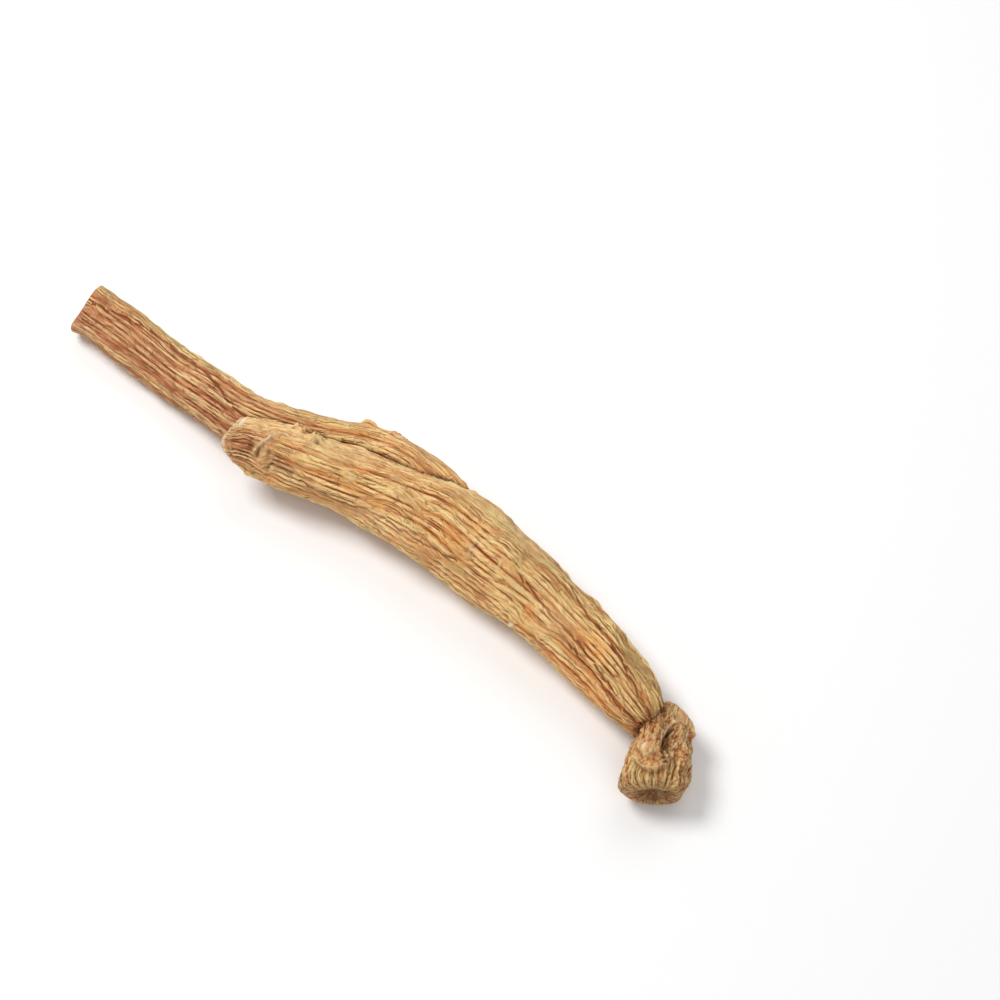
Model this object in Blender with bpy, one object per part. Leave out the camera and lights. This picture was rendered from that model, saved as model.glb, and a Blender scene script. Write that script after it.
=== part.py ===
"""A dried, forked ginseng root lying on its side. It grew as one piece, so it is one solid.

Metres, +Z up. X runs from the cut tip of the long leg to the crown. The origin is on the
surface the root lies on, under the middle of the box round the root.
Every helper works in millimetres, and the finished mesh is scaled to metres once.
"""
import math
import random

import bmesh
import bpy
import numpy as np

MM = 0.001
NODE = "ginseng_root"

# The middle of the root as traced, in mm, which is moved over the origin.
BOX_MIDDLE = (0.8, 1.3)

# Stations along each strand, in mm: x, y, z, half width, half height.
BODY = (
    (-41.4, -14.5, 14.2, 6.1, 5.4),
    (-37.0, -11.4, 14.2, 6.7, 6.5),
    (-30.7, -8.3, 13.6, 7.6, 7.3),
    (-22.8, -5.3, 13.0, 8.0, 7.8),
    (-15.1, -2.2, 12.6, 8.3, 8.3),
    (-4.5, 1.7, 12.2, 8.9, 9.2),
    (6.4, 4.8, 12.0, 9.9, 10.4),
    (18.3, 7.6, 11.6, 11.2, 11.9),
    (35.2, 8.0, 10.7, 10.5, 11.1),
    (52.0, 8.6, 10.4, 9.4, 9.6),
    (70.0, 7.1, 9.6, 8.3, 8.4),
    (79.0, 5.8, 9.2, 7.7, 7.6),
    (85.5, 4.5, 9.2, 6.9, 6.9),
    (91.6, 2.7, 9.7, 5.7, 6.1),
)
LEG = (
    (-103.5, -8.4, 7.2, 7.0, 7.1),
    (-90.5, -7.4, 7.1, 7.0, 7.4),
    (-79.6, -6.8, 7.1, 6.9, 7.2),
    (-68.7, -6.6, 7.2, 6.9, 6.9),
    (-58.2, -5.4, 7.6, 7.3, 7.1),
    (-48.2, -4.4, 7.9, 7.3, 7.1),
    (-34.9, -0.5, 8.4, 7.1, 7.0),
    (-23.0, 5.0, 9.1, 7.0, 7.0),
    (-8.9, 11.9, 10.0, 7.0, 7.0),
    (5.4, 13.8, 10.8, 6.4, 6.6),
    (23.5, 13.0, 11.0, 5.0, 5.2),
)
CROWN = (
    (90.0, 9.3, 7.8, 4.3, 4.8),
    (91.9, 6.7, 7.9, 5.5, 5.5),
    (93.8, 3.3, 8.3, 6.8, 6.7),
    (96.8, -1.6, 8.6, 7.6, 8.2),
    (100.0, -6.0, 8.3, 7.9, 8.6),
    (103.2, -10.0, 8.1, 7.8, 8.2),
)

# An end that was cut at a slant leans over this length of its strand, in mm.
SLANT_REACH = 16.0
LEG_SLANT = (-0.15, 0.35)
STUB_SLANT = (-0.26, -0.04)

# Marks on each strand: distance along it in mm, angle round it in degrees, half length along
# and across in mm, and height in mm, where a pit is below nothing.
BODY_MARKS = (
    (13.4, 132.0, 1.7, 4.6, 0.8),
    (10.4, 138.0, 1.4, 2.6, -0.9),
    (17.2, 39.0, 1.5, 1.6, 0.9),
    (20.2, 48.0, 1.2, 1.2, -0.4),
    (23.5, 61.0, 1.6, 1.8, 0.9),
    (75.2, 115.0, 1.3, 2.2, 0.3),
    (94.0, 164.0, 1.5, 1.8, 0.35),
    (56.0, 235.0, 1.8, 2.0, 0.9),
    (104.0, 25.0, 1.6, 1.8, 0.7),
    (119.0, 300.0, 1.6, 1.6, 0.6),
)
LEG_MARKS = (
    (91.5, 32.0, 1.7, 1.9, 1.1),
    (43.5, 45.0, 1.2, 1.6, -0.4),
    (98.0, 45.0, 3.5, 2.5, 0.4),
    (24.0, 210.0, 1.6, 1.6, 0.6),
    (66.0, 10.0, 1.8, 1.6, 0.7),
)
CROWN_MARKS = (
    (11.8, 70.0, 3.4, 2.0, -2.7),
    (6.6, 88.0, 1.2, 1.2, -0.7),
    (9.4, 92.0, 2.4, 0.9, 0.6),
    (15.5, 111.0, 2.7, 3.0, 0.9),
    (10.5, 22.0, 2.4, 3.2, 0.8),
    (13.0, 235.0, 3.0, 3.0, 0.6),
    (19.0, 330.0, 2.4, 2.6, 0.8),
)
# The crown's upper face ends at a lip, past which the skirt is set back by this much, in mm.
LIP_DROP = 0.8

# Main ridges round each strand, the depth of the furrows between them and the size of the
# long lumps, in mm.
BODY_RIDGES, BODY_FURROW, BODY_LUMPS = 14, 0.55, 0.32
LEG_RIDGES, LEG_FURROW, LEG_LUMPS = 10, 0.40, 0.26
CROWN_RIDGES, CROWN_FURROW, CROWN_LUMPS = 11, 0.30, 0.45

# Each ridge takes this many columns of the mesh: furrow, flank, top, flank.
COLUMNS_PER_RIDGE = 4
RIDGE_PROFILE = (-1.0, 0.15, 0.55, 0.15)


def read_curve(stations, distances):
    """The stations' values and direction at each distance, read by a smooth cubic."""
    table = np.array(stations, float)
    gaps = np.linalg.norm(np.diff(table[:, :3], axis=0), axis=1)
    knots = np.concatenate(([0.0], np.cumsum(gaps)))
    slopes = np.gradient(table, knots, axis=0)
    place = np.clip(np.searchsorted(knots, distances, side="right") - 1, 0, len(gaps) - 1)
    step = gaps[place][:, None]
    t = ((distances - knots[place]) / gaps[place])[:, None]
    first, second = table[place], table[place + 1]
    lead, trail = slopes[place] * step, slopes[place + 1] * step
    values = (
        (2 * t**3 - 3 * t**2 + 1) * first
        + (t**3 - 2 * t**2 + t) * lead
        + (3 * t**2 - 2 * t**3) * second
        + (t**3 - t**2) * trail
    )
    rates = (
        (6 * t**2 - 6 * t) * (first - second) / step
        + (3 * t**2 - 4 * t + 1) * lead / step
        + (3 * t**2 - 2 * t) * trail / step
    )
    heading = rates[:, :3] / np.linalg.norm(rates[:, :3], axis=1)[:, None]
    return values, heading


def curve_length(stations):
    """The length of the line through the stations, in mm."""
    table = np.array(stations, float)
    return float(np.linalg.norm(np.diff(table[:, :3], axis=0), axis=1).sum())


def make_waves(seed, count, most_turns, shortest, longest, size):
    """Random long waves that run round and along a strand, closed round it."""
    rng = random.Random(seed)
    waves = []
    for _ in range(count):
        turns = rng.randint(1, most_turns)
        pace = rng.choice((-1, 1)) * 2 * math.pi / rng.uniform(shortest, longest)
        waves.append((turns, pace, rng.uniform(0, 2 * math.pi), size * math.sqrt(2 / count)))
    return waves


def wave_height(waves, s, angle):
    """The sum of the waves at distance s and angle round the strand, in mm."""
    total = 0.0
    for turns, pace, phase, size in waves:
        total = total + size * np.sin(turns * angle + pace * s + phase)
    return total


def bump(s, angle, radius, at_s, at_degrees, along, across, height):
    """A smooth bump, or a pit where height is negative, with half lengths in mm."""
    turn = np.mod(angle - math.radians(at_degrees) + math.pi, 2 * math.pi) - math.pi
    spread = ((s - at_s) / along) ** 2 + (turn * radius / across) ** 2
    return height * np.exp(-spread)


def marks_height(marks, s, angle, radius):
    """All the bumps and pits of a strand together."""
    return sum(bump(s, angle, radius, *mark) for mark in marks)


def underside(angle):
    """One at the bottom of a strand, falling to nothing at its sides."""
    return np.clip(-np.sin(angle), 0.0, 1.0) ** 2


def cut_rings(hollow):
    """Rings of the leg's sawn tip: how far in, and what share of the full size."""
    return [(hollow, 0.35), (0.4 * hollow, 0.7), (0.0, 0.93), (0.35, 0.99)]


def rolled_rings(hollow):
    """Rings of the stub's end, which dried with a rolled rim round a shallow hollow."""
    return [(hollow, 0.28), (0.6 * hollow, 0.52), (0.0, 0.72), (0.5, 0.86), (1.7, 0.95), (3.2, 1.0)]


def dome_rings(length, from_start, depth, count, bluntness):
    """Rings of a rounded end: how far along, and what share of the full size."""
    rings = []
    for index in range(1, count + 1):
        turn = math.pi / 2 * index / (count + 1)
        rings.append((depth * (1 - math.cos(turn)), math.sin(turn) ** bluntness))
    if from_start:
        return rings
    return [(length - inset, share) for inset, share in reversed(rings)]


def side_rings(start, end, pitch):
    """Rings of full size from start to end, about pitch apart."""
    count = max(2, round((end - start) / pitch))
    return [(start + (end - start) * index / count, 1.0) for index in range(count + 1)]


def sweep(name, stations, rings, ridges, relief, sway, slant=(0.0, 0.0)):
    """One closed strand: rings of points round the stations' line, with relief on them.

    slant leans the first end: how far it moves along the line for each mm across and above.
    """
    distances = np.array([distance for distance, _ in rings])
    shares = np.array([share for _, share in rings])[:, None]
    values, heading = read_curve(stations, distances)
    columns = ridges * COLUMNS_PER_RIDGE
    angle = np.arange(columns)[None, :] * 2 * math.pi / columns
    s = distances[:, None] + 0.0 * angle
    angle = angle + sway(s, angle)
    side = np.cross((0.0, 0.0, 1.0), heading)
    side /= np.linalg.norm(side, axis=1)[:, None]
    up = np.cross(heading, side)
    wide, high = values[:, 3:4], values[:, 4:5]
    across = shares * wide * np.cos(angle)
    above = shares * high * np.sin(angle)
    lean = np.sqrt((np.cos(angle) / wide) ** 2 + (np.sin(angle) / high) ** 2)
    height = relief(s, angle, np.sqrt(wide * high)) * shares
    across = across + height * np.cos(angle) / wide / lean
    above = above + height * np.sin(angle) / high / lean
    lean_share = np.clip(1.0 - s / SLANT_REACH, 0.0, 1.0) ** 2
    forward = (slant[0] * across + slant[1] * above) * lean_share
    points = (
        values[:, None, :3]
        + forward[:, :, None] * heading[:, None, :]
        + across[:, :, None] * side[:, None, :]
        + above[:, :, None] * up[:, None, :]
    )
    mesh = bmesh.new()
    grid = [[mesh.verts.new(point) for point in ring] for ring in points]
    first_middle = mesh.verts.new(points[0].mean(axis=0))
    last_middle = mesh.verts.new(points[-1].mean(axis=0))
    for column in range(columns):
        after = (column + 1) % columns
        mesh.faces.new((first_middle, grid[0][after], grid[0][column]))
        mesh.faces.new((last_middle, grid[-1][column], grid[-1][after]))
        for ring in range(len(grid) - 1):
            here, there = grid[ring], grid[ring + 1]
            mesh.faces.new((here[column], here[after], there[after]))
            mesh.faces.new((here[column], there[after], there[column]))
    bmesh.ops.recalc_face_normals(mesh, faces=mesh.faces)
    data = bpy.data.meshes.new(name)
    mesh.to_mesh(data)
    mesh.free()
    strand = bpy.data.objects.new(name, data)
    bpy.context.scene.collection.objects.link(strand)
    return strand


def ridge_height(ridges, depth, seed):
    """Long ridges with narrow furrows between them; each furrow comes and goes along it."""
    rng = random.Random(seed)
    paces = np.array([2 * math.pi / rng.uniform(22.0, 55.0) for _ in range(ridges)])
    phases = np.array([rng.uniform(0, 2 * math.pi) for _ in range(ridges)])
    profile = np.array(RIDGE_PROFILE * ridges)
    numbers = np.repeat(np.arange(ridges), COLUMNS_PER_RIDGE)

    def height(s):
        strength = 0.62 + 0.38 * np.sin(paces[numbers][None, :] * s + phases[numbers][None, :])
        return depth * profile[None, :] * strength

    return height


def drift(seed, reach, radius):
    """How far the furrows wander round a strand as they run along it, as an angle."""
    waves = make_waves(seed, 5, 3, 14.0, 45.0, reach / radius)

    def sway(s, angle):
        return wave_height(waves, s, angle)

    return sway


def make_body():
    """The thick tapering body, from its short cut stub to the neck."""
    length = curve_length(BODY)
    waves = make_waves(11, 12, 4, 16.0, 60.0, BODY_LUMPS)
    furrows = ridge_height(BODY_RIDGES, BODY_FURROW, 12)

    def relief(s, angle, radius):
        quiet = 1.0 - 0.7 * underside(angle)
        height = (wave_height(waves, s, angle) + furrows(s)) * quiet
        return height + marks_height(BODY_MARKS, s, angle, radius)

    rings = rolled_rings(0.9)
    rings += side_rings(5.4, length - 3.8, 2.4)
    rings += dome_rings(length, False, 3.2, 3, 0.6)
    return sweep("body", BODY, rings, BODY_RIDGES, relief, drift(13, 0.5, 9.0), STUB_SLANT)


def make_leg():
    """The long even leg, from its cut tip to where it sinks into the body."""
    length = curve_length(LEG)
    waves = make_waves(21, 9, 3, 18.0, 55.0, LEG_LUMPS)
    furrows = ridge_height(LEG_RIDGES, LEG_FURROW, 22)

    def relief(s, angle, radius):
        quiet = 1.0 - 0.7 * underside(angle)
        height = (wave_height(waves, s, angle) + furrows(s)) * quiet
        return height + marks_height(LEG_MARKS, s, angle, radius)

    rings = cut_rings(0.6)
    rings += side_rings(1.3, length - 4.0, 3.3)
    rings += dome_rings(length, False, 3.6, 2, 0.8)
    return sweep("leg", LEG, rings, LEG_RIDGES, relief, drift(23, 0.4, 7.0), LEG_SLANT)


def past_lip(s, angle):
    """One on the crown's skirt, nothing on its upper face, with a short step between."""
    turn = np.degrees(np.mod(angle, 2 * math.pi)) - 99.0
    lip = 20.5 - 0.0027 * turn**2
    step = np.clip((s - lip) / 1.2 + 0.5, 0.0, 1.0)
    near = np.clip((58.0 - np.abs(turn)) / 14.0, 0.0, 1.0)
    return step * near


def make_crown():
    """The gnarled crown at the neck, with the hollow left by the stem."""
    length = curve_length(CROWN)
    waves = make_waves(31, 11, 5, 7.0, 24.0, CROWN_LUMPS)
    furrows = ridge_height(CROWN_RIDGES, CROWN_FURROW, 32)

    def relief(s, angle, radius):
        quiet = 1.0 - 0.8 * underside(angle)
        height = (wave_height(waves, s, angle) + furrows(s)) * quiet
        height = height + marks_height(CROWN_MARKS, s, angle, radius)
        return height - LIP_DROP * past_lip(s, angle)

    rings = dome_rings(length, True, 5.0, 4, 0.8)
    rings += side_rings(5.5, length - 2.6, 1.1)
    rings += dome_rings(length, False, 2.2, 3, 0.45)
    rings += [(length - 0.9, 0.35)]
    return sweep("crown", CROWN, rings, CROWN_RIDGES, relief, drift(33, 0.5, 8.0))


def unite(base, other):
    """Join the other strand into the base, as one solid."""
    joint = base.modifiers.new("join_" + other.name, "BOOLEAN")
    joint.operation = "UNION"
    joint.solver = "EXACT"
    joint.object = other
    other.hide_render = True
    other.display_type = "WIRE"


def bake(base):
    """Apply the modifiers, and remove the strands they used."""
    graph = bpy.context.evaluated_depsgraph_get()
    data = bpy.data.meshes.new_from_object(base.evaluated_get(graph))
    base.modifiers.clear()
    base.data = data
    for helper in [item for item in bpy.context.scene.objects if item is not base]:
        bpy.data.objects.remove(helper, do_unlink=True)


def finish_mesh(root):
    """Press the low spots flat on the surface, move over the origin and scale to metres."""
    mesh = bmesh.new()
    mesh.from_mesh(root.data)
    bmesh.ops.triangulate(mesh, faces=mesh.faces)
    bmesh.ops.remove_doubles(mesh, verts=mesh.verts, dist=0.0001)
    for vert in mesh.verts:
        vert.co.z = max(vert.co.z, 0.0)
        vert.co.x -= BOX_MIDDLE[0]
        vert.co.y -= BOX_MIDDLE[1]
        vert.co *= MM
    mesh.to_mesh(root.data)
    mesh.free()
    root.data.update()


def root_skin():
    """Plain brown for the dried skin."""
    skin = bpy.data.materials.new("root_skin")
    skin.diffuse_color = (0.58, 0.35, 0.17, 1.0)
    skin.roughness = 0.8
    return skin


def main():
    """Build the root from its three strands."""
    for item in list(bpy.data.objects):
        bpy.data.objects.remove(item, do_unlink=True)
    root = make_body()
    unite(root, make_leg())
    unite(root, make_crown())
    bake(root)
    finish_mesh(root)
    root.name = NODE
    root.data.name = NODE
    root.data.materials.clear()
    root.data.materials.append(root_skin())


main()
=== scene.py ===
"""The looks of a dried, forked ginseng root: wrinkled skin, scars, cut ends and colours.

The skin follows the same three strands as the part's solid, on a finer grid. Helpers work in
millimetres, and the finished mesh is scaled to metres once.
"""

import math
import random

import bmesh
import bpy
import numpy as np
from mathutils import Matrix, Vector
from mathutils.kdtree import KDTree


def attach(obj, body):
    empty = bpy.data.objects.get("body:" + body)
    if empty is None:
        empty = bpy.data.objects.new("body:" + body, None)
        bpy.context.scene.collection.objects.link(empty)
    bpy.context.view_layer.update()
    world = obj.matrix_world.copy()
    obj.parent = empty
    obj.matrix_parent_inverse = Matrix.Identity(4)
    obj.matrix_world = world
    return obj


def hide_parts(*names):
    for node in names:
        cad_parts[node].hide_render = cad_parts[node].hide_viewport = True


MM = 0.001
NODE = "ginseng_root"

# The middle of the root as traced, in mm, which is moved over the origin.
BOX_MIDDLE = (0.8, 1.3)

# Stations along each strand, in mm: x, y, z, half width, half height.
BODY = (
    (-41.4, -14.5, 14.2, 6.1, 5.4),
    (-37.0, -11.4, 14.2, 6.7, 6.5),
    (-30.7, -8.3, 13.6, 7.6, 7.3),
    (-22.8, -5.3, 13.0, 8.0, 7.8),
    (-15.1, -2.2, 12.6, 8.3, 8.3),
    (-4.5, 1.7, 12.2, 8.9, 9.2),
    (6.4, 4.8, 12.0, 9.9, 10.4),
    (18.3, 7.6, 11.6, 11.2, 11.9),
    (35.2, 8.0, 10.7, 10.5, 11.1),
    (52.0, 8.6, 10.4, 9.4, 9.6),
    (70.0, 7.1, 9.6, 8.3, 8.4),
    (79.0, 5.8, 9.2, 7.7, 7.6),
    (85.5, 4.5, 9.2, 6.9, 6.9),
    (91.6, 2.7, 9.7, 5.7, 6.1),
)
LEG = (
    (-103.5, -8.4, 7.2, 7.0, 7.1),
    (-90.5, -7.4, 7.1, 7.0, 7.4),
    (-79.6, -6.8, 7.1, 6.9, 7.2),
    (-68.7, -6.6, 7.2, 6.9, 6.9),
    (-58.2, -5.4, 7.6, 7.3, 7.1),
    (-48.2, -4.4, 7.9, 7.3, 7.1),
    (-34.9, -0.5, 8.4, 7.1, 7.0),
    (-23.0, 5.0, 9.1, 7.0, 7.0),
    (-8.9, 11.9, 10.0, 7.0, 7.0),
    (5.4, 13.8, 10.8, 6.4, 6.6),
    (23.5, 13.0, 11.0, 5.0, 5.2),
)
CROWN = (
    (90.0, 9.3, 7.8, 4.3, 4.8),
    (91.9, 6.7, 7.9, 5.5, 5.5),
    (93.8, 3.3, 8.3, 6.8, 6.7),
    (96.8, -1.6, 8.6, 7.6, 8.2),
    (100.0, -6.0, 8.3, 7.9, 8.6),
    (103.2, -10.0, 8.1, 7.8, 8.2),
)

# A cut end changes its strand over this length, in mm.
CUT_REACH = 16.0
# The leg's end moves along by these shares of how far a point is across and above its line.
LEG_SLANT = (-0.15, 0.35)
# The stub's end stands out furthest at this angle, in degrees, over this spread, in radians, and
# falls back this far round from it, in mm.
STUB_NOSE, STUB_SPREAD, STUB_FALL = 122.0, 1.05, 4.6
# The leg's cut edge is set back at this angle, over this spread, by this much, in mm, so that it
# is straight from above.
TIP_SIDE, TIP_SPREAD, TIP_SET = 127.0, 0.8, 0.8
# The outline of each cut end: pairs of distance along the strand in mm and share of its full size.
STUB_END = ((0.9, 0.0), (0.9, 0.28), (0.54, 0.52), (0.0, 0.72), (0.5, 0.86), (1.7, 0.95), (3.2, 1.0))
TIP_END = ((0.6, 0.0), (0.6, 0.35), (0.24, 0.7), (0.0, 0.93), (0.35, 0.99), (1.3, 1.0))

# Where the colours change round a strand: the angle in degrees and the spread in radians.
STUB_FACE = (136.0, 0.85)
BODY_EDGE = (48.0, 0.5)
BODY_LOBE = (90.0, 0.8)
LEG_EDGE = (20.0, 0.75)

# The scar of a broken-off rootlet on the stub and the bulge on the crown's face: distance,
# degrees, half length along and across.
SCAR = (12.6, 130.0, 2.3, 3.8)
CROWN_BULGE = (15.0, 113.0, 3.5, 5.0)

# Marks on each strand: distance along it in mm, angle round it in degrees, half length along
# and across in mm, and height in mm, where a pit is below nothing.
BODY_MARKS = (
    (13.4, 132.0, 1.7, 4.6, 0.5),
    (17.2, 39.0, 1.5, 1.6, 0.9),
    (20.2, 48.0, 1.2, 1.2, -0.4),
    (23.5, 61.0, 1.6, 1.8, 0.9),
    (75.2, 114.0, 1.3, 1.6, 0.25),
    (94.0, 164.0, 1.5, 1.8, 0.35),
    (56.0, 235.0, 1.8, 2.0, 0.9),
    (104.0, 25.0, 1.6, 1.8, 0.7),
    (119.0, 300.0, 1.6, 1.6, 0.6),
    (136.5, 25.0, 5.0, 4.5, -1.2),
    (136.5, 168.0, 6.0, 5.0, -1.7),
)
LEG_MARKS = (
    (91.5, 32.0, 1.7, 1.9, 1.1),
    (43.5, 45.0, 1.2, 1.6, -0.4),
    (98.0, 45.0, 3.5, 2.5, 0.4),
    (1.4, 201.0, 1.6, 2.2, 0.5),
    (1.4, 52.0, 1.6, 2.0, 0.4),
    (24.0, 210.0, 1.6, 1.6, 0.6),
    (66.0, 10.0, 1.8, 1.6, 0.7),
)
CROWN_MARKS = (
    (12.0, 71.0, 3.4, 3.3, -3.0),
    (11.2, 157.0, 3.0, 4.5, -1.7),
    (6.8, 87.0, 1.5, 1.1, -1.0),
    (5.0, 68.0, 1.6, 2.6, -0.8),
    (15.5, 111.0, 2.7, 3.0, 0.7),
    (10.5, 22.0, 2.4, 3.2, 0.8),
    (6.6, 10.0, 1.4, 1.4, 0.6),
    (13.0, 235.0, 3.0, 3.0, 0.6),
    (19.0, 330.0, 2.4, 2.6, 0.8),
)
# The crown's upper face ends at a lip: the angle of its middle in degrees, how far along it is
# there in mm, and how fast it draws in beside it, in mm for a square degree.
LIP_MIDDLE, LIP_REACH, LIP_CURVE = 99.0, 20.5, 0.0027
# The skirt past the lip is set back by this much over this length, in mm. The lip runs this far
# round from its middle and fades over this much, in degrees.
LIP_DROP, LIP_STEP, LIP_SIDE, LIP_FADE = 1.2, 0.8, 58.0, 14.0

# The angles of the furrows that run along the stub's end, in degrees.
STUB_FURROWS = (94, 101, 108, 115, 122, 141, 149, 158)

# Raised or sunk lines drawn on each strand: half width and height in mm, the tint it leaves
# and how strongly, then the line's points as distance in mm and angle in degrees.
BODY_LINES = (
    *(
        (0.24, -0.25, "furrow", 0.75, ((2.2, degrees + 2), (4.6, degrees), (8.6, degrees - 4)))
        for degrees in STUB_FURROWS
    ),
    (0.50, 0.35, "pale", 0.9, ((1.4, 40), (1.0, 62), (0.9, 90), (0.8, 122), (0.9, 150), (1.2, 180))),
    (0.32, 0.10, "white", 0.45, ((1.0, 62), (0.9, 90), (0.8, 122), (0.9, 150), (1.2, 180))),
    (0.30, 0.25, "pale", 0.5, ((3.6, 84), (2.6, 104), (2.5, 130), (3.2, 160))),
    (0.50, -0.25, "red", 0.6, ((2.4, 70), (1.9, 100), (1.8, 130), (2.2, 160))),
    (1.10, 0.30, "pale", 0.4, ((1.5, 62), (5.0, 68), (10.0, 72), (15.0, 66))),
    (0.60, 0.50, "pale", 0.7, ((16.5, 76), (13.6, 84), (12.4, 92), (12.6, 99))),
    (0.50, 0.75, "pale", 0.9, ((12.8, 96), (12.2, 103), (10.8, 111), (9.9, 122), (9.8, 134))),
    # A painted highlight along the top of the scar's cord.
    (0.35, 0.10, "white", 0.60, ((13.6, 92), (12.8, 98), (12.0, 105), (10.8, 112))),
    (0.36, 0.40, "pale", 0.5, ((9.8, 132), (10.6, 146), (12.4, 152), (14.6, 160))),
    (0.34, 0.40, "pale", 0.4, ((13.0, 102), (13.8, 110), (15.2, 118), (15.4, 132), (14.2, 144))),
    (0.30, 0.90, "pale", 0.8, ((17.6, 30), (16.4, 35), (16.6, 44), (18.2, 48), (19.2, 42), (18.6, 36))),
    (0.30, 0.90, "pale", 0.8, ((22.4, 54), (22.9, 66), (23.6, 74))),
    (0.26, 0.80, "pale", 0.8, ((23.8, 54), (24.0, 64), (25.4, 60))),
    (0.30, 0.35, "white", 0.30, ((74.8, 108), (75.6, 120))),
    (0.26, 0.25, "white", 0.30, ((76.3, 110), (76.0, 116))),
    (0.28, 0.30, "pale", 1.0, ((83.3, 103), (83.8, 112))),
    (0.26, 0.35, "pale", 0.9, ((92.9, 160), (95.2, 168))),
    (0.26, 0.35, "pale", 0.9, ((94.9, 159), (93.2, 169))),
    (0.30, -0.20, "red", 0.9, ((75.4, 107), (76.0, 121))),
    (0.30, -0.20, "red", 0.9, ((83.9, 102), (84.3, 113))),
    (0.60, -0.45, "dark", 0.5, ((15.5, 141), (18.0, 143), (21.5, 139))),
    (0.80, -0.50, "red", 0.9, ((104, 124), (114, 134), (122, 141), (129, 144), (138, 141))),
    (0.35, -0.30, "furrow", 0.9, ((110, 131), (114, 134), (122, 141), (129, 144), (138, 141))),
    (0.35, -0.35, "furrow", 0.8, ((95.2, 53), (107.8, 69), (118.2, 76), (129.8, 93), (136.5, 99))),
    (0.40, -0.40, "furrow", 0.9, ((89.0, 101), (100.2, 116), (112.0, 116), (125.8, 128))),
    (0.35, -0.30, "furrow", 0.5, ((53.0, 69), (64.5, 85), (77.0, 90), (88.2, 95))),
    (0.40, -0.40, "furrow", 0.8, ((24.0, 150), (36.0, 158), (48.0, 150), (62.0, 152), (74.0, 141))),
    (1.60, 0.25, "orange", 0.8, ((105.2, 172), (112.0, 165), (125.0, 163), (138.0, 158))),
)
LEG_LINES = (
    (0.30, 0.30, "pale", 0.7, ((38.6, 112), (40.4, 108), (41.0, 101))),
    (0.32, 0.75, "pale", 0.8, ((90.4, 26), (90.2, 36), (91.6, 41), (93.2, 36), (92.8, 27))),
    (0.34, 0.45, "red", 1.0, ((97.8, 38), (99.6, 45), (101.6, 55))),
    (0.34, 0.45, "red", 1.0, ((101.4, 33), (99.6, 45), (98.0, 57))),
    (0.26, 0.30, "pale", 0.7, ((99.4, 37), (99.8, 48))),
    (0.40, -0.50, "furrow", 1.0, ((3.0, 100), (7.2, 95), (17.8, 78), (24.5, 66), (37.0, 58))),
    (0.40, -0.50, "furrow", 1.0, ((37.0, 58), (43.8, 73), (50.8, 89), (57.2, 105), (61.0, 112))),
)
# The lines along the crown's lip and its ear: distance in mm and angle in degrees.
LIP = (
    (13.6, 150), (15.8, 140), (18.0, 128), (19.2, 115), (19.8, 102),
    (19.2, 87), (17.0, 74), (15.5, 64), (12.5, 50),
)
EAR = ((1.8, 112), (1.3, 90), (1.7, 65), (2.8, 45), (4.8, 26), (7.2, 12))
CROWN_LINES = (
    # The thin ridge between the cavity's two holes: its pale tint and the white line along its top are
    # painted highlights.
    (0.26, 1.20, "pale", 1.0, ((7.4, 72), (9.0, 79), (10.8, 84), (12.4, 89), (13.6, 95))),
    (0.18, 0.10, "white", 0.35, ((7.8, 74), (9.0, 79), (10.8, 84), (12.0, 88))),
    # A painted highlight along the ear's edge.
    (0.28, 0.25, "pale", 0.8, EAR),
    # Painted shade in the cavity's two holes.
    (0.45, -0.90, "dark", 0.9, ((8.8, 70), (10.2, 75))),
    (0.45, -0.90, "dark", 0.9, ((11.8, 79), (13.4, 82))),
    (0.70, 0.75, "orange", 0.5, EAR),
    (0.40, 0.45, "pale", 0.7, ((3.8, 103), (5.2, 107), (6.8, 102), (8.4, 96))),
    (0.35, 0.45, "pale", 0.5, ((12.4, 86), (14.4, 93), (15.8, 90), (16.2, 82))),
    # Painted shade in two sunk lines beside the cavity.
    (0.35, -0.60, "dark", 0.8, ((14.0, 88), (15.0, 84), (16.2, 77), (16.4, 70))),
    (0.30, -0.40, "dark", 0.6, ((11.4, 66), (13.0, 62), (14.6, 64))),
    # A painted highlight along the lip, and a painted shadow just below it.
    (0.28, 0.55, "pale", 0.9, LIP),
    (0.50, -0.30, "dark", 0.4, tuple((s + 1.0, degrees) for s, degrees in LIP)),
)
# The drawn lines and spots wander by these waves: seed, how many, how often they run round at
# most, shortest and longest length along, and size, in mm.
LINE_WOBBLE = (70, 20, 9, 1.8, 8.0, 0.20)

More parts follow.
